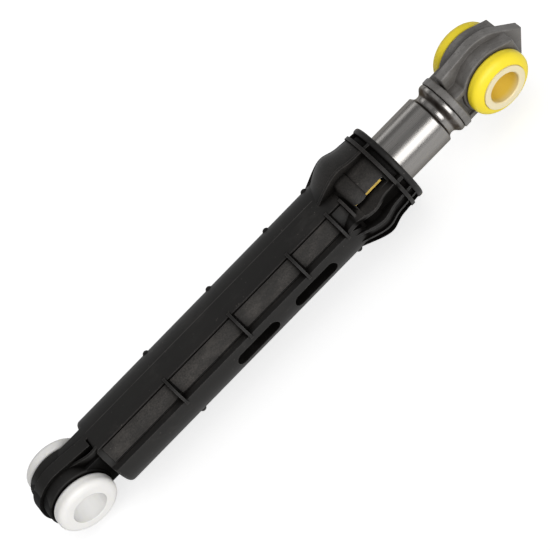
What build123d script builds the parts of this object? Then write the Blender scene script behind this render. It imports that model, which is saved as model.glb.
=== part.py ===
from build123d import *
import os

# Friction shock absorber of a washing machine, lying on its side. All sizes are in millimetres.
# X runs from the lower eye to the upper eye, Y along both pins, and Z up.
# The origin is the centre of the lower eye.

# overall length
eye_spacing = 212.5

# piston tube of thin rolled steel, locked on the head by a rolled bead
tube_r = 10.5
tube_wall = 1.2
tube_start = 84.0
seat_to_eye = 18.9
roll_length = 7.0
shoulder_round = 1.1
groove_depth = 1.6
bead_rise = 0.6
bead_round = 1.8

# housing body: two equal rounds side by side, with a bore between them
bore_gap = 0.6
barrel_wall = 1.3
round_shift = 2.8
body_start = 16.4
body_round = 1.8
bore_floor = 24.0
rail_half_y = 5.8
rail_half_z = 5.7
rib_stations = [52.2, 85.1, 114.8, 134.8, 141.8]
rib_t = 1.1
rib_rise = 0.7
pad_t = 0.4
pad_gap = 0.8
slot_stations = [85.3, 114.8]
slot_length = 20.8
slot_height = 5.6
nub_r = 1.5
nub_rise = 1.6
far_nub_turn = -54.0
near_nub_turn = 126.0
far_nub_stations = [53.2, 86.0, 115.7, 135.5]
near_nub_stations = [53.6, 134.9]

# collar that holds the friction liner
collar_start = 135.2
side_start_rise = 2.2
side_slope = 0.3
crown_start = 133.2
crown_sink = 1.1
crown_slope = 0.6
bulge_x = 149.5
waist_x = 156.4
hoop_x = 160.3
hoop_t = 1.4
lip_x = 164.5
lip_t = 2.6
lip_drop = 0.4
lip_round = 1.0
collar_rise = 2.4
bulge_rise = 1.4
waist_drop = 0.2
plate_t = 1.2
wing_start_z = 5.3
wing_slope = 0.75
wing_crest_x = 143.5
wing_crest_z = 8.4
wing_z = 7.9
channel = 1.1
keel_z = 2.5
keel_drop = 1.1
skin_t = 1.8
skin_drop = 0.4
pocket_x0 = 136.8
pocket_x1 = 141.0
pocket_low_z = 3.9
shell_start = 142.6
shell_wall = 1.6
shell_crown = 0.7
shell_slope = 0.6
chamber_start = 144.2
chamber_end = 158.9
strip_room = 2.8
slit_top_z = 10.9
slit_end = 0.3
slide_gap = 0.35
mouth_chamfer = 0.7

# friction liner, a strip bent round the tube
liner_gap = 0.15
liner_start_gap = 0.4
liner_end_gap = 1.5
liner_opening = 16.0
liner_turn = 172.0

# guide ring in the inner end of the tube
guide_gap = 0.3
guide_flange = 2.4
guide_plug = 9.0
guide_wall = 1.8

# both eyes
bush_gap = 0.1
flange_edge = 1.5
eye_edge = 0.8

# lower eye and its neck, set a little to the far side of the bore
lower_eye_half = 7.4
eye_shift = 0.5
lower_bush_half = 13.2
lower_flange_r = 12.4
lower_nose = (2.9, 2.4)
lower_eye_r = 13.3
lower_bore_r = 10.2
lower_pin_r = 7.0
ridge_r = 14.7
ridge_half = 2.4
deck_near = 1.0
deck_far = 7.0
neck_near = 6.4
neck_side_z = 9.4
neck_low_z = 7.5
neck_wall = 1.4
neck_floor_z = 3.0
neck_floor_t = 2.2
rib_path = [(-2.0, -1.2), (6.7, -2.2), (11.4, -4.0), (18.0, -4.3)]

# head
disc_rise = 0.8
disc_t = 3.0
disc_round = 0.6
spigot_gap = 0.2
spigot_length = 16.0
head_neck_z = 8.0
neck_recess = 1.2
neck_rim = 2.0
head_eye_half = 7.5
head_eye_r = 13.7
head_bore_r = 10.9
web_r = 16.2
web_half = 2.0
web_edge = 0.5
web_foot_z = 14.3
web_foot_gap = 1.0
nose_x = 13.6
nose_z = 8.3
tab_tip = (20.4, 2.0)
tab_heel = (15.6, -9.6)

# upper bush and its inner sleeve
upper_bush_half = 13.7
upper_flange_r = 13.0
upper_nose = (5.0, 3.3)
upper_sleeve_half = 14.1
sleeve_r = 9.2
sleeve_pin_r = 6.4
sleeve_bevel = 0.4

# sizes and places worked out from the ones above
bore_r = tube_r + bore_gap
barrel_r = bore_r + barrel_wall
chamber_r = tube_r + strip_room
shell_r = chamber_r + shell_wall
shell_crown_r = shell_r + shell_crown
collar_r = shell_r + collar_rise
bulge_r = collar_r + bulge_rise
waist_r = collar_r - waist_drop
lip_r = collar_r - lip_drop
mouth_r = tube_r + slide_gap
groove_r = tube_r - groove_depth
bead_r = tube_r + bead_rise
disc_r = tube_r + disc_rise
head_seat = eye_spacing - seat_to_eye
tube_shoulder = head_seat - roll_length
bead_x = head_seat - bead_round
tube_bore_r = tube_r - tube_wall
collar_end = lip_x + lip_t / 2
body_end = rib_stations[-1] + rib_t / 2
plate_top = wing_crest_z + plate_t / 2
outside = 2 * bulge_r


def block(x0, x1, y0, y1, z0, z1):
    return Pos((x0 + x1) / 2, (y0 + y1) / 2, (z0 + z1) / 2) * Box(x1 - x0, y1 - y0, z1 - z0)


def round_x(x0, x1, r):
    return Pos((x0 + x1) / 2, 0, 0) * Rot(0, 90, 0) * Cylinder(r, x1 - x0)


def round_y(x, r, half):
    return Pos(x, 0, 0) * Rot(90, 0, 0) * Cylinder(r, 2 * half)


def spun(plane, outline):
    return revolve(plane * make_face(outline), Axis.X)


def plate_y(sketch, half):
    return extrude(Plane.XZ * sketch, half, both=True)


def twice(shape):
    return shape + Rot(180, 0, 0) * shape


# The body is a stadium in section. Its corners are cored back to the round barrel,
# and cross ribs stand in the corners.
def body_section(r):
    sides = [Pos(y, 0) * Circle(r) for y in (-round_shift, round_shift)]
    return sides[0] + sides[1] + Rectangle(2 * round_shift, 2 * r)


def four_corners(shape):
    half = shape + mirror(shape, Plane.XZ)
    return half + mirror(half, Plane.XY)


def body():
    solid = extrude(Plane.YZ.offset(body_start) * body_section(barrel_r), body_end - body_start)
    solid = fillet(solid.faces().sort_by(Axis.X)[0].edges(), body_round)
    corner = block(body_start, body_end, -outside, -rail_half_y, rail_half_z, outside)
    corner -= round_x(body_start, body_end, barrel_r)
    return solid - twice(corner)


def cross_ribs():
    section = body_section(barrel_r + rib_rise) - Circle(bore_r)
    corner = block(
        body_start, body_end, -outside, -rail_half_y + pad_gap, rail_half_z - pad_gap, outside)
    ribs = [extrude(Plane.YZ.offset(x - rib_t / 2) * section, rib_t) & corner for x in rib_stations]
    return [twice(rib) for rib in ribs]


def pads():
    starts = [body_start + body_round] + [x + rib_t / 2 for x in rib_stations[:-1]]
    ends = [x - rib_t / 2 for x in rib_stations]
    shapes = []
    for x0, x1 in zip(starts, ends):
        ring = round_x(x0 + pad_gap, x1 - pad_gap / 4, barrel_r + pad_t)
        frame = block(x0, x1, -outside, -rail_half_y - pad_gap / 2, rail_half_z + pad_gap, outside)
        shapes.append(ring & frame)
    return shapes


def nub(x, turn):
    return Rot(turn, 0, 0) * Pos(x, 0, barrel_r + nub_rise) * Sphere(nub_r)


def nubs():
    far = [nub(x, far_nub_turn) for x in far_nub_stations]
    near = [nub(x, near_nub_turn) for x in near_nub_stations]
    return far + near


def slots():
    slot = SlotOverall(slot_length, slot_height)
    return [plate_y(Pos(x, 0) * slot, outside) for x in slot_stations]


# Each side rail narrows before the collar and leaves a pocket beside the foot of the wing plate.
def rail_pockets():
    pocket = Polyline(
        (pocket_x0, rail_half_z), (pocket_x1, pocket_low_z), (pocket_x1, wing_crest_z - plate_t),
        ((pocket_x0 + pocket_x1) / 2, wing_z - plate_t), close=True)
    cut = extrude(Plane.XZ * make_face(pocket), outside) - round_x(pocket_x0, pocket_x1, barrel_r)
    return four_corners(cut)


# The collar swells over the liner, narrows to a waist and ends in a hoop and a thick lip.
def collar_form(plane, start, slope, drop):
    swell = Spline(
        start, (bulge_x, bulge_r - drop), (waist_x, waist_r - drop), tangents=[(1, slope), (1, 0)])
    rim = (lip_x, lip_r - lip_round / 2 - drop)
    rest = Polyline(swell @ 1, rim, (lip_x, 0), (start[0], 0), start)
    return spun(plane, Curve() + [swell, rest])


def side_form(drop=0):
    return collar_form(Plane.XZ, (collar_start, barrel_r + side_start_rise - drop), side_slope, drop)


def crown_form(drop=0):
    return collar_form(Plane.XY, (crown_start, barrel_r - crown_sink - drop), crown_slope, drop)


def shell():
    rise = Spline(
        (shell_start, barrel_r), (chamber_start, shell_r), (bulge_x, shell_crown_r), (hoop_x, shell_r),
        tangents=[(1, shell_slope), (1, 0)])
    close = Polyline(
        rise @ 1, (lip_x, shell_r), (lip_x, 0), (body_end, 0), (body_end, barrel_r), rise @ 0)
    return spun(Plane.XY, Curve() + [rise, close])


def lip():
    ring = round_x(lip_x - lip_t / 2, collar_end, lip_r)
    rims = ring.edges().filter_by(GeomType.CIRCLE)
    return fillet(rims, lip_round)


def wing_path(lift):
    return Spline(
        (collar_start, wing_start_z + lift), (wing_crest_x, wing_crest_z + lift), (lip_x, wing_z + lift),
        tangents=[(1, wing_slope), (1, 0)])


def wings():
    wing = trace(wing_path(0), plate_t)
    both = wing + mirror(wing, Plane.XZ)
    return plate_y(both, bulge_r) & side_form()


def keels():
    root_x = shell_start
    taper = Polyline(
        (pocket_x0, -rail_half_z), (pocket_x0, rail_half_z),
        (root_x, keel_z), (root_x, -keel_z), close=True)
    root = plate_y(make_face(taper), bulge_r)
    band = block(root_x - plate_t, lip_x, -bulge_r, bulge_r, -keel_z, keel_z)
    keel = (root + band) & side_form(keel_drop)
    for z in (-keel_z, keel_z):
        plate = block(pocket_x0, lip_x, -bulge_r, bulge_r, z - plate_t / 2, z + plate_t / 2)
        keel += plate & side_form()
    return [keel]


def skins():
    edge = wing_path(plate_t / 2 + channel)
    frame = Polyline(edge @ 1, (lip_x, outside), (collar_start, outside), edge @ 0)
    upper = extrude(Plane.XZ * make_face(Curve() + [edge, frame]), -outside)
    form = crown_form(skin_drop) - crown_form(skin_drop + skin_t)
    return twice(form & upper & block(crown_start, hoop_x, 0, outside, 0, outside))


def spines():
    spine = block(crown_start, lip_x, -plate_t / 2, plate_t / 2, 0, outside)
    return twice(spine & crown_form())


def collar():
    hoop = round_x(hoop_x - hoop_t / 2, hoop_x + hoop_t / 2, collar_r)
    return [shell(), hoop, lip(), wings(), skins(), spines()] + keels()


def slits():
    x0 = chamber_start + slit_end
    x1 = chamber_end - slit_end
    return twice(block(x0, x1, -collar_r, -bore_r / 2, plate_top, slit_top_z))


# The lower eye stands on a neck with a closed far side and two pockets beside a thin rib.
def lower_eye():
    ring = fillet(round_y(0, lower_eye_r, lower_eye_half).edges().filter_by(GeomType.CIRCLE), eye_edge)
    foot = Line((body_start, -barrel_r), (body_start, barrel_r))
    ridge = plate_y(make_hull([CenterArc((0, 0), ridge_r, 0, 360), foot]), ridge_half)
    return Pos(0, eye_shift, 0) * (ring + ridge)


def lower_neck():
    end = body_start + body_round
    section = extrude(Plane.YZ * body_section(barrel_r), end)
    deck = section & block(0, end, deck_near, deck_far, neck_floor_z, outside)
    far_wall = block(0, end, deck_far - neck_wall, deck_far, -neck_low_z, neck_floor_z)
    near_wall = block(0, end, -neck_near, -neck_near + neck_wall, -neck_low_z, neck_side_z)
    floor = block(0, end, -neck_near, deck_far, neck_floor_z - neck_floor_t, neck_floor_z)
    keel = block(0, end, -neck_wall / 2, neck_wall / 2, -neck_low_z, neck_floor_z)
    thin_rib = trace(Spline(*rib_path), rib_t)
    thin_rib = extrude(Plane.XY.offset(neck_floor_z) * thin_rib, barrel_r - neck_floor_z)
    return [deck, far_wall, near_wall, floor, keel, thin_rib]


def housing():
    solid = body() + cross_ribs() + pads() + nubs() + lower_neck() + lower_eye()
    solid = solid - rail_pockets() + collar()
    solid -= round_y(0, lower_bore_r, 2 * lower_bush_half)
    solid -= round_x(bore_floor, chamber_start, bore_r)
    solid -= round_x(chamber_start, chamber_end, chamber_r)
    solid -= round_x(chamber_end, collar_end, mouth_r)
    solid -= Pos(collar_end, 0, 0) * Rot(0, 90, 0) * Cone(
        mouth_r, mouth_r + 2 * mouth_chamfer, 2 * mouth_chamfer)
    solid -= slots()
    return solid - slits()


def friction_liner():
    inner = tube_r + guide_gap
    outer = chamber_r - liner_gap
    bend = CenterArc((0, 0), (inner + outer) / 2, liner_turn + liner_opening / 2, 360 - liner_opening)
    start = chamber_start + liner_start_gap
    length = chamber_end - liner_end_gap - start
    return extrude(Plane.YZ.offset(start) * trace(bend, outer - inner), length)


# A bush is a spool: its barrel fills the eye, and its flanges lie on both sides.
def spool(barrel, pin_r, seat, flange_r, half, nose):
    outline = [
        Polyline((flange_r - nose[0], half), (0, half), (0, 0), (barrel, 0), (barrel, seat)),
        Line((barrel, seat), (flange_r - flange_edge, seat)),
        CenterArc((flange_r - flange_edge, seat + flange_edge), flange_edge, -90, 90),
        Line((flange_r, seat + flange_edge), (flange_r, half - nose[1])),
        EllipticalCenterArc((flange_r - nose[0], half - nose[1]), nose[0], nose[1])]
    side = revolve(Plane.XY * make_face(Curve() + outline), Axis.Y)
    return side + mirror(side, Plane.XZ) - round_y(0, pin_r, 2 * half)


def lower_bush():
    barrel = lower_bore_r - bush_gap
    seat = lower_eye_half + bush_gap
    return Pos(0, eye_shift, 0) * spool(
        barrel, lower_pin_r, seat, lower_flange_r, lower_bush_half, lower_nose)


def upper_bush():
    barrel = head_bore_r - bush_gap
    seat = head_eye_half + bush_gap
    return Pos(eye_spacing, 0, 0) * spool(
        barrel, sleeve_r + bush_gap, seat, upper_flange_r, upper_bush_half, upper_nose)


def upper_sleeve():
    sleeve = round_y(eye_spacing, sleeve_r, upper_sleeve_half)
    sleeve -= round_y(eye_spacing, sleeve_pin_r, 2 * upper_sleeve_half)
    rims = sleeve.edges().filter_by(GeomType.CIRCLE).sort_by(SortBy.RADIUS)[:2]
    return chamfer(rims, sleeve_bevel)


# The tube is drawn in to a groove and rolled out to a bead, which locks it on the head.
def tube_form(drop):
    straight = round_x(tube_start - 2 * drop, tube_shoulder - drop, tube_r - drop)
    rim = straight.edges().filter_by(GeomType.CIRCLE).sort_by(Axis.X)[-1]
    straight = fillet(rim, shoulder_round)
    groove = round_x(tube_shoulder - 2 * tube_wall, head_seat + 2 * drop, groove_r - drop)
    bead = Pos(bead_x, 0, 0) * Rot(0, 90, 0) * Torus(bead_r - bead_round, bead_round - drop / 2)
    return straight + groove + bead


def piston_tube():
    return tube_form(0) - tube_form(tube_wall)


def guide_ring():
    flange = round_x(tube_start - guide_flange, tube_start, bore_r - guide_gap)
    rim = flange.edges().filter_by(GeomType.CIRCLE).sort_by(Axis.X)[0]
    flange = chamfer(rim, guide_flange / 4)
    plug = round_x(tube_start, tube_start + guide_plug, tube_bore_r - guide_gap)
    hole_r = tube_bore_r - guide_gap - guide_wall
    return flange + plug - round_x(tube_start - 2 * guide_flange, tube_start + 2 * guide_plug, hole_r)


# The head carries the upper eye, with a flat web through its middle that ends in a tab.
def head_neck():
    start = head_seat + disc_t - web_foot_gap
    neck = block(start, eye_spacing, -head_eye_half, head_eye_half, -head_neck_z, head_neck_z)
    low_z = head_neck_z - neck_rim
    recess_x = start + web_foot_gap + neck_rim / 2
    for side in (-1, 1):
        y = side * head_eye_half
        neck -= block(recess_x, eye_spacing, y - neck_recess, y + neck_recess, -low_z, low_z)
    return neck


def head_eye():
    nose = Line((nose_x, -nose_z), (nose_x, nose_z))
    ring = plate_y(make_hull([CenterArc((0, 0), head_eye_r, 0, 360), nose]), head_eye_half)
    ring = fillet(ring.faces().filter_by(Axis.Y).edges(), web_edge)
    foot_x = head_seat + disc_t + web_foot_gap - eye_spacing
    foot = Line((foot_x, -web_foot_z), (foot_x, web_foot_z))
    tab = Line(tab_tip, tab_heel)
    web = plate_y(make_hull([CenterArc((0, 0), web_r, 0, 360), foot, tab]), web_half)
    web = fillet(web.faces().filter_by(Axis.Y).edges(), web_edge)
    return Pos(eye_spacing, 0, 0) * (ring + web)


def head():
    disc = round_x(head_seat, head_seat + disc_t, disc_r)
    disc = fillet(disc.edges().filter_by(GeomType.CIRCLE), disc_round)
    spigot_r = groove_r - tube_wall - spigot_gap
    spigot = round_x(head_seat - spigot_length, head_seat, spigot_r)
    solid = disc + spigot + head_neck() + head_eye()
    return solid - round_y(eye_spacing, head_bore_r, 2 * head_eye_half)


def main():
    os.makedirs("parts", exist_ok=True)
    nodes = {
        "housing": housing(),
        "lower_bush": lower_bush(),
        "friction_liner": friction_liner(),
        "guide_ring": guide_ring(),
        "piston_tube": piston_tube(),
        "head": head(),
        "upper_bush": upper_bush(),
        "upper_sleeve": upper_sleeve(),
    }
    for name, solid in nodes.items():
        export_step(solid, f"parts/{name}.step")
        print(name, round(solid.volume), len(solid.solids()), solid.is_valid)


main()
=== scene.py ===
import bpy
import bmesh
import math
from mathutils import Euler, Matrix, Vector


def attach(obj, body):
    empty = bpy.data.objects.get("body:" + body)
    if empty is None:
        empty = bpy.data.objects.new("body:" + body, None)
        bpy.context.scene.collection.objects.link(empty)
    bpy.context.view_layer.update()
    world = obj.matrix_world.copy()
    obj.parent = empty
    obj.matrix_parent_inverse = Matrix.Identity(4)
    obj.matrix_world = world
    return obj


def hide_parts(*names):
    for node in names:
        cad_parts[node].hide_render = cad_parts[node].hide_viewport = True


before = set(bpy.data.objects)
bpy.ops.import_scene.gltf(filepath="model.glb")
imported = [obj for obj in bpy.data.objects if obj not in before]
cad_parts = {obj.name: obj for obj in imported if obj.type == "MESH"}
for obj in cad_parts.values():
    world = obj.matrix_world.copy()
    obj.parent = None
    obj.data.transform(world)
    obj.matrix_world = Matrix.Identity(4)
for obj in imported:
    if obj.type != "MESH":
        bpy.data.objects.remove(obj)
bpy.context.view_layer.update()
MM = 0.001

# camera: a long lens above the near side, rolled so the strut runs from corner to corner
CAMERA_PLACE = (0.11676, -0.37935, 0.53448)
CAMERA_DEGREES = (25.931, 25.053, -39.515)
CAMERA_LENS = 117.82
CAMERA_SENSOR = 36.0
CAMERA_NEAR = 0.01

# floor that the strut lies on: it touches the lower eye and the widest place of the collar
EYE_X = 0.0
EYE_DEPTH = 14.7 * MM
COLLAR_X = 149.5 * MM
COLLAR_DEPTH = 18.7 * MM
FLOOR_SIZE = 6.0
FLOOR_COLOUR = (0.85, 0.85, 0.85, 1)
FLOOR_LIFT = 0.75

# lamps: a long soft box towards the near side, a weak one behind and a wide faint one above,
# each with its turn from straight up, its size along the strut and across, and its power
LAMP_AIM = (0.11, 0, 0)
LAMP_REACH = 0.9
KEY_DEGREES = 57
KEY_SIZE = (1.0, 0.56)
KEY_POWER = 8.2
RIM_DEGREES = -63
RIM_SIZE = (1.0, 0.25)
RIM_POWER = 1.2
TOP_DEGREES = -12
TOP_SIZE = (1.2, 0.6)
TOP_POWER = 0.7

# tones of the studio round the strut, from level towards straight up
STUDIO_TONES = ((0.0, 0.35), (0.5, 0.3))

# places on the housing that its material follows
BODY_START = 18.0 * MM
BARREL_R = 12.4 * MM
HOUSING_BORE_R = 11.3 * MM
PAD_INNER_R = 12.6 * MM
PAD_OUTER_R = 13.2 * MM
RAIL_HALF_Z = 5.7 * MM
RAIL_HALF_Y = 5.8 * MM
SEAM_Y = 3.3 * MM
SEAM_HALF = 0.13 * MM
COLLAR_START = 135.0 * MM
SKIN_START = 139.0 * MM
CHANNEL_START = 139.5 * MM
CHANNEL_INNER_Y = 9.5 * MM
CHANNEL_OUTER_Y = 16.0 * MM
HOOP_X = 160.3 * MM
WING_Z = 8.4 * MM

# bores of the bushes: the painted light and shade of a bore runs a little over its rim and sets in with
# depth
LOWER_EYE_Y = 0.5 * MM
LOWER_PIN_R = 7.0 * MM
UPPER_EYE_X = 212.5 * MM
UPPER_PIN_R = 6.4 * MM
SLEEVE_R = 9.3 * MM
BORE_RIM = 0.3 * MM
BORE_SHADING_Y = 12.9 * MM
BORE_SHADING_SOFT = 2.5 * MM

# steel tube with its rolled end
TUBE_START = 84.0 * MM
TUBE_R = 10.5 * MM
TUBE_WALL = 1.2 * MM
TUBE_EDGE = 0.4 * MM
SHOULDER_X = 186.7 * MM
GROOVE_X = 188.5 * MM
GROOVE_R = 8.9 * MM
BEAD_X = 192.8 * MM
BEAD_R = 11.0 * MM
BEAD_DROP = 0.8 * MM
SEAT_X = 193.6 * MM
TUBE_SIDES = 128
TUBE_WAVE_STEPS = 14
TUBE_SHARP_DEGREES = 35

# where shade is painted on the rolled end, in a brownish tone
SHOULDER_SHADE_END = SHOULDER_X + 0.7 * MM
GROOVE_SHADE_START = GROOVE_X + 1.1 * MM
GROOVE_SHADE_END = BEAD_X - 1.1 * MM
SEAT_SHADE_START = BEAD_X + 0.55 * MM


def grey(value, warm=0.0):
    """A grey, or a slightly warm one."""
    return (value * (1 + warm), value, value * (1 - warm), 1)


# colours of the housing
RAIL_DARK = grey(0.006, 0.06)
RAIL_LIGHT = grey(0.0115, 0.08)
RAIL_RUBBED = grey(0.024, 0.08)
PAD_DARK = (0.0115, 0.0103, 0.0092, 1)
PAD_LIGHT = (0.037, 0.0325, 0.029, 1)
PAD_PATCH = (0.0105, 0.0094, 0.0083, 1)
PAD_RUBBED = (0.062, 0.055, 0.049, 1)
DUST = (0.11, 0.1, 0.09, 1)
SEAM_LINE = (0.06, 0.057, 0.054, 1)
# painted highlight: a lighter line on the housing's open edges
HOUSING_EDGE_HIGHLIGHT = (0.07, 0.066, 0.062, 1)
# painted shade: near black inside the housing's bore, seen through the slots
BORE_SHADE_BLACK = grey(0.003)
# painted shade: dull near black in corners and in the channels between the collar's wing plates
PAINTED_SHADE_BLACK = (0.003, 0.0027, 0.0024, 1)

# colours of the head
HEAD_DARK = (0.122, 0.116, 0.109, 1)
HEAD_LIGHT = (0.166, 0.158, 0.15, 1)
HEAD_FIBRE = (0.215, 0.206, 0.197, 1)
HEAD_FLECK = (0.06, 0.056, 0.052, 1)
# painted highlight: a lighter line on the head's open edges
HEAD_EDGE_HIGHLIGHT = (0.27, 0.262, 0.25, 1)
# painted shade: dark brown in the head's corners and recesses
HEAD_CORNER_SHADE = (0.034, 0.027, 0.02, 1)

# colours of the bushes: the darker and the lighter cloud of the skin, then the painted light and shade
# down in the bore
WHITE_TONES = ((0.80, 0.785, 0.76, 1), (0.86, 0.85, 0.83, 1), (0.92, 0.915, 0.9, 1))
YELLOW_TONES = ((0.91, 0.71, 0.018, 1), (0.96, 0.77, 0.03, 1), (0.7, 0.5, 0.02, 1))
CREAM_TONES = ((0.80, 0.69, 0.42, 1), (0.86, 0.77, 0.53, 1), (0.86, 0.625, 0.085, 1))
GLOW_DEPTH = (0.003, 0.003, 0.002)

# colours of the tube, the friction strip and the guide ring
STEEL_DARK = (0.195, 0.187, 0.178, 1)
STEEL_LIGHT = (0.3, 0.29, 0.28, 1)
STEEL_GRAIN = (0.36, 0.345, 0.33, 1)
STEEL_RIM = (0.4, 0.39, 0.37, 1)
# painted shade: brownish dark in the creases of the rolled end
CREASE_SHADE = (0.04, 0.028, 0.02, 1)
FOAM_DARK = (0.42, 0.26, 0.035, 1)
FOAM_LIGHT = (0.78, 0.56, 0.12, 1)
GUIDE_DARK = grey(0.6, 0.03)
GUIDE_LIGHT = grey(0.68, 0.03)


class Socket:
    """An output socket that can be used in a sum."""

    def __init__(self, look, out):
        self.look = look
        self.out = out

    def _sum(self, operation, *values):
        return self.look.node("ShaderNodeMath", {"operation": operation}, dict(enumerate(values)))

    def __add__(self, other):
        return self._sum("ADD", self, other)

    def __radd__(self, other):
        return self._sum("ADD", other, self)

    def __sub__(self, other):
        return self._sum("SUBTRACT", self, other)

    def __rsub__(self, other):
        return self._sum("SUBTRACT", other, self)

    def __mul__(self, other):
        return self._sum("MULTIPLY", self, other)

    def __rmul__(self, other):
        return self._sum("MULTIPLY", other, self)

    def __pow__(self, other):
        return self._sum("POWER", self, other)

    def __rpow__(self, other):
        return self._sum("POWER", other, self)

    def __abs__(self):
        return self._sum("ABSOLUTE", self)

    def or_more(self, other):
        """The larger of two masks."""
        return self._sum("MAXIMUM", self, other)

    def beside(self, name):
        """Another output of the same node."""
        return Socket(self.look, self.out.node.outputs[name])


class Look:
    """The nodes of a material, or of the studio round the strut."""

    def __init__(self, owner):
        owner.use_nodes = True
        self.owner = owner
        self.tree = owner.node_tree
        self.shader = next(
            n for n in self.tree.nodes if n.type in ("BSDF_PRINCIPLED", "BACKGROUND"))

    def put(self, socket, value):
        if isinstance(value, Socket):
            self.tree.links.new(value.out, socket)
        else:
            socket.default_value = value

    def set(self, **values):
        """Give the shader's own sockets a value each, or a link."""
        for key, value in values.items():
            self.put(self.shader.inputs[key.replace("_", " ")], value)

    def node(self, kind, settings=None, inputs=None, out=0):
        """A new node of the kind, with its settings first and then its sockets. Gives one output."""
        made = self.tree.nodes.new(kind)
        for key, value in (settings or {}).items():
            if key == "stops":
                self._stops(made.color_ramp, value)
            else:
                setattr(made, key, value)
        for key, value in (inputs or {}).items():
            self.put(made.inputs[key], value)
        return Socket(self, made.outputs[out])

    def _stops(self, ramp, stops):
        while len(ramp.elements) < len(stops):
            ramp.elements.new(1.0)
        for element, (place, tone) in zip(ramp.elements, stops):
            element.position = place
            element.color = grey(tone)

    def place(self):
        """Where on the piece the pattern is, in its own coordinates."""
        return self.node("ShaderNodeTexCoord", out="Object")

    def stretched(self, x, y, z):
        return self.node("ShaderNodeMapping", inputs={"Vector": self.place(), "Scale": (x, y, z)})

    def axes(self):
        x = self.node("ShaderNodeSeparateXYZ", inputs={"Vector": self.place()}, out="X")
        return x, x.beside("Y"), x.beside("Z")

    def noise(self, scale, detail=4.0, roughness=0.55, where=None):
        return self.node("ShaderNodeTexNoise", inputs={
            "Vector": where or self.place(), "Scale": scale, "Detail": detail, "Roughness": roughness})

    def above(self, value, edge, soft):
        """0 below the edge and 1 above it, with a soft step."""
        return self.node("ShaderNodeMapRange", {"interpolation_type": "SMOOTHSTEP"}, {
            "Value": value, "From Min": edge - soft, "From Max": edge + soft})

    def below(self, value, edge, soft):
        return 1 - self.above(value, edge, soft)

    def between(self, value, low, high, soft):
        return self.above(value, low, soft) * self.below(value, high, soft)

    def mix(self, factor, a, b):
        """Two colours mixed. The sockets go by number, because their names repeat in the node."""
        return self.node("ShaderNodeMix", {"data_type": "RGBA"}, {0: factor, 6: a, 7: b}, out=2)

    def paint_shade_into(self, factor, colour):
        """Painted shade: lose the surface's shine where factor is 1, down to a dull dark colour."""
        dull = self.node("ShaderNodeBsdfDiffuse", inputs={"Color": colour})
        mixed = self.node("ShaderNodeMixShader", inputs={
            0: factor, 1: Socket(self, self.shader.outputs["BSDF"]), 2: dull})
        self.put(self.tree.nodes["Material Output"].inputs["Surface"], mixed)

    def seen_rays(self):
        """1 for what the camera sees straight on, in a mirror or through glass."""
        camera = self.node("ShaderNodeLightPath", out="Is Camera Ray")
        mirrored = camera.beside("Is Glossy Ray")
        through = camera.beside("Is Transmission Ray")
        return camera.or_more(mirrored).or_more(through)

    def open_sky(self, reach):
        """1 where the surface is open, towards 0 down in a corner."""
        return self.node("ShaderNodeAmbientOcclusion", {"samples": 8}, {"Distance": reach}, out="AO")

    def soft_edges(self, radius):
        """The surface's normal with its edges rounded."""
        return self.node("ShaderNodeBevel", {"samples": 6}, {"Radius": radius})

    def caught_edges(self, radius):
        """0 on flat faces, rising on edges and corners."""
        flat = self.node("ShaderNodeNewGeometry", out="Normal")
        facing = self.node("ShaderNodeVectorMath", {"operation": "DOT_PRODUCT"}, {
            0: self.soft_edges(radius), 1: flat}, out="Value")
        return self.node("ShaderNodeMapRange", inputs={
            "Value": facing, "From Min": 0.99, "From Max": 0.8})

    def bump(self, height, strength, distance, under=None):
        inputs = {"Height": height, "Strength": strength, "Distance": distance}
        if under is not None:
            inputs["Normal"] = under
        return self.node("ShaderNodeBump", inputs=inputs)


def new_look(name):
    return Look(bpy.data.materials.new(name))


def on_pads(look, x, y, z, radius):
    """1 on the raised pads of the body, between the rails."""
    pad = look.between(radius, PAD_INNER_R, PAD_OUTER_R, soft=0.05 * MM)
    pad = pad * look.between(x, BODY_START, COLLAR_START, soft=0.2 * MM)
    pad = pad * look.between(abs(z), RAIL_HALF_Z, BARREL_R, soft=0.1 * MM)
    return pad * look.between(abs(y), RAIL_HALF_Y, BARREL_R, soft=0.1 * MM)


def on_skin(look, x, z):
    """1 on the collar's swelling skin, outside the wing plates."""
    skin = look.between(x, SKIN_START, HOOP_X, soft=1.5 * MM)
    return skin * look.above(abs(z), WING_Z, soft=0.5 * MM)


def on_seam(look, x, y):
    """1 on the hair line along the body where the mould's halves meet."""
    seam = look.between(y, SEAM_Y - SEAM_HALF, SEAM_Y + SEAM_HALF, soft=0.06 * MM)
    return seam * look.between(x, BODY_START, COLLAR_START, soft=0.3 * MM)


def in_channels(look, x, y, z):
    """1 in the deep channels between the collar's wing plates, where shade is painted."""
    channel_shade_mask = look.between(abs(y), CHANNEL_INNER_Y, CHANNEL_OUTER_Y, soft=0.45 * MM)
    channel_shade_mask = channel_shade_mask * look.below(abs(z), WING_Z, soft=0.3 * MM)
    return channel_shade_mask * look.between(x, CHANNEL_START, HOOP_X, soft=1 * MM)


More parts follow.
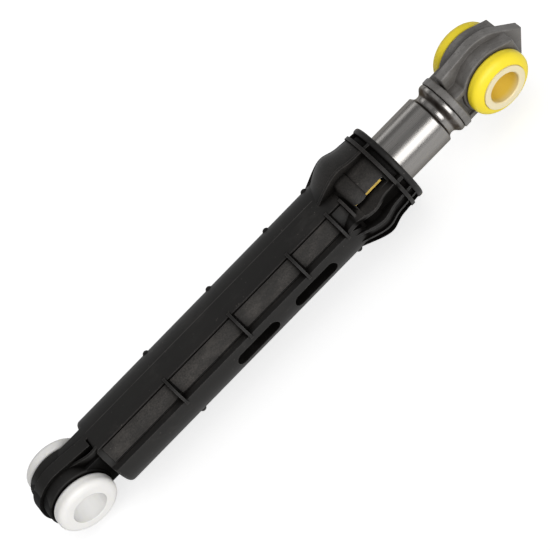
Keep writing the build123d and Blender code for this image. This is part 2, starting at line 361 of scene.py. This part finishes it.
def black_plastic():
    """Glass-filled plastic, smooth on the rails, with a fine spark texture on the raised pads."""
    look = new_look("black_plastic")
    x, y, z = look.axes()
    radius = (y * y + z * z) ** 0.5
    pad = on_pads(look, x, y, z, radius)
    skin = on_skin(look, x, z)
    in_bore = look.below(radius, HOUSING_BORE_R, soft=0.1 * MM)

    cloud = look.noise(scale=45, detail=5)
    flow = look.noise(scale=60, detail=3, where=look.stretched(0.25, 1, 1))
    grain = look.noise(scale=4200, detail=2)
    speckle = look.noise(scale=1900, detail=3, roughness=0.7)
    patch = look.noise(scale=95, detail=6, roughness=0.68)
    rubbed = look.noise(scale=130, detail=5, roughness=0.7, where=look.stretched(0.5, 1, 1))
    dust = look.noise(scale=850, detail=2)

    smooth = look.mix(cloud, RAIL_DARK, RAIL_LIGHT)
    smooth = look.mix(look.above(rubbed, 0.62, soft=0.1) * 0.5, smooth, RAIL_RUBBED)
    rough = look.mix(look.above(speckle, 0.5, soft=0.16), PAD_DARK, PAD_LIGHT)
    rough = look.mix(look.above(patch, 0.5, soft=0.14) * 0.75, rough, PAD_PATCH)
    rough = look.mix(look.above(rubbed, 0.6, soft=0.13) * 0.5, rough, PAD_RUBBED)

    colour = look.mix(pad, smooth, rough)
    colour = look.mix(skin * 0.6, colour, rough)
    colour = look.mix(look.above(dust, 0.74, soft=0.04) * 0.6, colour, DUST)
    seam = on_seam(look, x, y) * look.above(rubbed, 0.42, soft=0.14)
    colour = look.mix(seam * 0.7, colour, SEAM_LINE)
    # painted highlight: lighter lines on the open edges, where rounded edges would catch the light
    edge_highlight = look.caught_edges(radius=0.4 * MM) * look.open_sky(reach=3 * MM)
    colour = look.mix(edge_highlight * 0.8, colour, HOUSING_EDGE_HIGHLIGHT)
    # painted shade: near black inside the bore
    look.set(Base_Color=look.mix(in_bore, colour, BORE_SHADE_BLACK), Specular_IOR_Level=0.25)

    # painted shade: corners and the channels between the wing plates go dull and near black
    corner_shade_mask = look.below(look.open_sky(reach=7 * MM), 0.7, soft=0.25)
    channel_shade_mask = in_channels(look, x, y, z)
    look.paint_shade_into((corner_shade_mask * 0.95).or_more(channel_shade_mask * 0.93), PAINTED_SHADE_BLACK)

    look.set(Roughness=0.5 + 0.12 * flow + 0.06 * pad + 0.3 * in_bore)
    edges = look.soft_edges(radius=0.3 * MM)
    fine = look.bump(grain, strength=0.12, distance=0.04 * MM, under=edges)
    spark = speckle * (pad + 0.4 * skin)
    look.set(Normal=look.bump(spark, strength=0.7, distance=0.12 * MM, under=fine))
    return look.owner


def grey_plastic():
    """Glass-filled plastic of the head, streaky along the flow round the eye."""
    look = new_look("grey_plastic")
    cloud = look.noise(scale=90, detail=6)
    fibre = look.noise(scale=420, detail=5, roughness=0.65, where=look.stretched(0.35, 1, 0.5))
    fleck = look.noise(scale=1500, detail=3)
    grain = look.noise(scale=2400, detail=3)
    open_sky = look.open_sky(reach=6 * MM)
    edges = look.soft_edges(radius=0.6 * MM)

    colour = look.mix(cloud, HEAD_DARK, HEAD_LIGHT)
    colour = look.mix(look.above(fibre, 0.54, soft=0.1) * 0.75, colour, HEAD_FIBRE)
    colour = look.mix(look.below(fleck, 0.37, soft=0.05) * 0.6, colour, HEAD_FLECK)
    # painted highlight: lighter lines on the open edges
    colour = look.mix(look.caught_edges(radius=0.5 * MM) * open_sky * 0.55, colour, HEAD_EDGE_HIGHLIGHT)
    # painted shade: darker and browner down in corners and recesses
    look.set(Base_Color=look.mix((1 - open_sky) ** 0.75 * 0.95, colour, HEAD_CORNER_SHADE))
    look.set(Roughness=0.44 + 0.2 * fibre)
    look.set(Normal=look.bump(grain, strength=0.2, distance=0.06 * MM, under=edges))
    return look.owner


def bush_look(name, tones, roughness, bore_r, centre_x=0.0, centre_y=0.0):
    """A moulded bush, with painted light and shade down inside its bore."""
    dark, light, deep = tones
    look = new_look(name)
    x, y, z = look.axes()
    across = x - centre_x
    along = abs(y - centre_y)
    in_bore = look.below((across * across + z * z) ** 0.5, bore_r + BORE_RIM, soft=0.1 * MM)
    in_depth = look.below(along, BORE_SHADING_Y, soft=BORE_SHADING_SOFT)
    skin = look.mix(look.noise(scale=70), dark, light)
    grain = look.noise(scale=900, detail=3)
    edges = look.soft_edges(radius=0.3 * MM)
    # painted light and shade in the bore: lighter than the skin in the white, shade in the yellow, an
    # amber glow in the cream
    look.set(Base_Color=look.mix(in_bore * in_depth, skin, deep))
    look.set(Roughness=roughness + 0.12 * look.noise(scale=220))
    look.set(Normal=look.bump(grain, strength=0.1, distance=0.05 * MM, under=edges))
    look.set(Subsurface_Weight=0.1, Subsurface_Radius=GLOW_DEPTH, Subsurface_Scale=0.3)
    return look.owner


def white_plastic():
    return bush_look("white_plastic", WHITE_TONES, 0.36, LOWER_PIN_R, centre_y=LOWER_EYE_Y)


def yellow_rubber():
    return bush_look("yellow_rubber", YELLOW_TONES, 0.42, SLEEVE_R, centre_x=UPPER_EYE_X)


def cream_plastic():
    return bush_look("cream_plastic", CREAM_TONES, 0.36, UPPER_PIN_R, centre_x=UPPER_EYE_X)


def crease_shade_mask(look):
    """1 in the creases of the tube's rolled end, where shade is painted."""
    x = look.axes()[0]
    shoulder = look.between(x, SHOULDER_X, SHOULDER_SHADE_END, soft=0.25 * MM)
    groove = look.between(x, GROOVE_SHADE_START, GROOVE_SHADE_END, soft=0.5 * MM)
    seat = look.above(x, SEAT_SHADE_START, soft=0.2 * MM)
    return shoulder + groove + seat


def tube_steel():
    """Steel polished along its length, with brown painted shade in the creases of its rolled end."""
    look = new_look("tube_steel")
    streak = look.noise(scale=900, detail=5, where=look.stretched(0.012, 1, 1))
    cloud = look.noise(scale=75, detail=5)
    grain = look.noise(scale=2600, detail=2, where=look.stretched(0.5, 1, 1))
    # painted shade: darker and browner in the creases of the rolled end, broken up by noise
    crease_shade = crease_shade_mask(look) * look.above(look.noise(scale=330), 0.3, soft=0.3) * 0.85
    steel = look.mix(streak, STEEL_DARK, STEEL_LIGHT)
    steel = look.mix(grain * 0.35, steel, STEEL_GRAIN)
    look.set(Base_Color=look.mix(crease_shade, steel, CREASE_SHADE), Metallic=1.0, Specular_Tint=STEEL_RIM)
    look.set(Roughness=0.19 + 0.1 * streak + 0.07 * cloud + 0.12 * crease_shade)
    look.set(Normal=look.bump(streak, strength=0.05, distance=0.02 * MM))
    return look.owner


def liner_foam():
    """Open foam strip, dark where the grease sits."""
    look = new_look("liner_foam")
    cell = look.node("ShaderNodeTexVoronoi", inputs={"Vector": look.place(), "Scale": 1500.0})
    look.set(Base_Color=look.mix(look.noise(scale=260, detail=3), FOAM_DARK, FOAM_LIGHT), Roughness=0.75)
    look.set(Normal=look.bump(cell, strength=0.8, distance=0.2 * MM))
    return look.owner


def guide_plastic():
    """Pale slippery plastic of the guide ring."""
    look = new_look("guide_plastic")
    look.set(Base_Color=look.mix(look.noise(scale=120), GUIDE_DARK, GUIDE_LIGHT))
    look.set(Roughness=0.4 + 0.1 * look.noise(scale=300), Normal=look.soft_edges(radius=0.2 * MM))
    return look.owner


FINISHES = {
    "housing": black_plastic,
    "head": grey_plastic,
    "lower_bush": white_plastic,
    "upper_bush": yellow_rubber,
    "upper_sleeve": cream_plastic,
    "friction_liner": liner_foam,
    "guide_ring": guide_plastic,
}


def dress():
    """Give each CAD piece that shows its own finish."""
    for node, finish in FINISHES.items():
        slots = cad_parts[node].data.materials
        slots.clear()
        slots.append(finish())


def finished_mesh(name, bm, material):
    """The bmesh as a mesh of one material."""
    mesh = bpy.data.meshes.new(name)
    bm.to_mesh(mesh)
    bm.free()
    mesh.materials.append(material)
    return mesh


def into_scene(name, data):
    made = bpy.data.objects.new(name, data)
    bpy.context.scene.collection.objects.link(made)
    return made


def tube_outline():
    """Half section of the tube, as places along it and radii: in to the groove and out to the bead."""
    wave = []
    for step in range(TUBE_WAVE_STEPS + 1):
        part = step / TUBE_WAVE_STEPS
        height = 0.5 - 0.5 * math.cos(math.pi * part * part * (3 - 2 * part))
        wave.append((GROOVE_X + (BEAD_X - GROOVE_X) * part, GROOVE_R + (BEAD_R - GROOVE_R) * height))
    brow = []
    for step in range(1, TUBE_WAVE_STEPS // 2):
        turn = math.pi * step / TUBE_WAVE_STEPS
        brow.append((BEAD_X + BEAD_DROP * math.sin(turn), BEAD_R - BEAD_DROP * (1 - math.cos(turn))))
    edge = TUBE_EDGE
    outer = [
        (TUBE_START, TUBE_R), (SHOULDER_X - 2 * edge, TUBE_R), (SHOULDER_X - edge, TUBE_R),
        (SHOULDER_X - edge / 3, TUBE_R - edge / 3), (SHOULDER_X, TUBE_R - edge),
        (GROOVE_X - 3 * edge, GROOVE_R + edge), (GROOVE_X - 1.5 * edge, GROOVE_R + edge / 4)]
    inner = [
        (SEAT_X, GROOVE_R - TUBE_WALL), (GROOVE_X - TUBE_WALL, GROOVE_R - TUBE_WALL),
        (SHOULDER_X - TUBE_WALL, TUBE_R - TUBE_WALL), (TUBE_START, TUBE_R - TUBE_WALL)]
    return outer + wave + brow + [(SEAT_X, BEAD_R - BEAD_DROP)] + inner


def rolled_tube():
    """The steel tube, spun from its half section. Its rolled end locks it on the head."""
    bm = bmesh.new()
    points = [bm.verts.new((x, 0, r)) for x, r in tube_outline()]
    ring = [bm.edges.new(pair) for pair in zip(points, points[1:] + points[:1])]
    bmesh.ops.spin(bm, geom=points + ring, cent=(0, 0, 0), axis=(1, 0, 0), angle=math.tau,
                   steps=TUBE_SIDES, use_merge=True)
    bmesh.ops.recalc_face_normals(bm, faces=bm.faces)
    for face in bm.faces:
        face.smooth = True
    mesh = finished_mesh("rolled_tube", bm, tube_steel())
    mesh.set_sharp_from_angle(angle=math.radians(TUBE_SHARP_DEGREES))
    tube = into_scene("rolled_tube", mesh)
    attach(tube, "rod")
    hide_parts("piston_tube")


def floor_look():
    """Dull white floor, lifted to paper white where it is looked at."""
    look = new_look("floor")
    look.set(Base_Color=FLOOR_COLOUR, Roughness=0.9, Specular_IOR_Level=0.0)
    look.set(Emission_Color=grey(1.0), Emission_Strength=look.seen_rays() * FLOOR_LIFT)
    return look.owner


def lay_floor():
    """The floor under the strut, tilted to touch it at the lower eye and at the collar."""
    tilt = math.atan2(COLLAR_DEPTH - EYE_DEPTH, COLLAR_X - EYE_X)
    bm = bmesh.new()
    bmesh.ops.create_grid(bm, x_segments=1, y_segments=1, size=FLOOR_SIZE / 2)
    bmesh.ops.rotate(bm, verts=bm.verts, matrix=Euler((0, tilt, 0)).to_matrix())
    bmesh.ops.translate(bm, verts=bm.verts, vec=(EYE_X, 0, -EYE_DEPTH))
    floor = into_scene("floor", finished_mesh("floor", bm, floor_look()))
    return floor


def soft_box(name, degrees, size, power):
    """A lamp turned about the strut from straight above, towards the near side."""
    light = bpy.data.lights.new(name, "AREA")
    light.shape = "RECTANGLE"
    light.size, light.size_y = size
    light.energy = power
    lamp = into_scene(name, light)
    angle = math.radians(degrees)
    away = Vector((0, -math.sin(angle), math.cos(angle)))
    lamp.location = Vector(LAMP_AIM) + away * LAMP_REACH
    lamp.rotation_euler = Euler((angle, 0, 0))
    return lamp


def pass_by(lamp, floor):
    """Keep the lamp's light and shadow off the floor."""
    passed = bpy.data.collections.new("passed_by")
    passed.objects.link(floor)
    lamp.light_linking.receiver_collection = passed
    passed.collection_objects[0].light_linking.link_state = "EXCLUDE"


def light_studio(floor):
    """Three lamps, of which the key passes the floor by, and a plain grey studio round them."""
    key = soft_box("key", KEY_DEGREES, KEY_SIZE, KEY_POWER)
    pass_by(key, floor)
    soft_box("rim", RIM_DEGREES, RIM_SIZE, RIM_POWER)
    soft_box("top", TOP_DEGREES, TOP_SIZE, TOP_POWER)
    world = bpy.data.worlds.new("studio")
    bpy.context.scene.world = world
    look = Look(world)
    where = look.node("ShaderNodeTexCoord", out="Generated")
    height = look.node("ShaderNodeSeparateXYZ", inputs={"Vector": where}, out="Z")
    look.set(Color=look.node("ShaderNodeValToRGB", {"stops": STUDIO_TONES}, {"Fac": height}), Strength=1.0)


def set_camera():
    """The photograph's view of the strut."""
    data = bpy.data.cameras.new("camera")
    data.lens = CAMERA_LENS
    data.sensor_width = CAMERA_SENSOR
    data.clip_start = CAMERA_NEAR
    camera = into_scene("camera", data)
    camera.location = CAMERA_PLACE
    camera.rotation_euler = Euler([math.radians(angle) for angle in CAMERA_DEGREES])
    bpy.context.scene.camera = camera
    bpy.context.scene.view_settings.view_transform = "Standard"


dress()
rolled_tube()
light_studio(lay_floor())
set_camera()
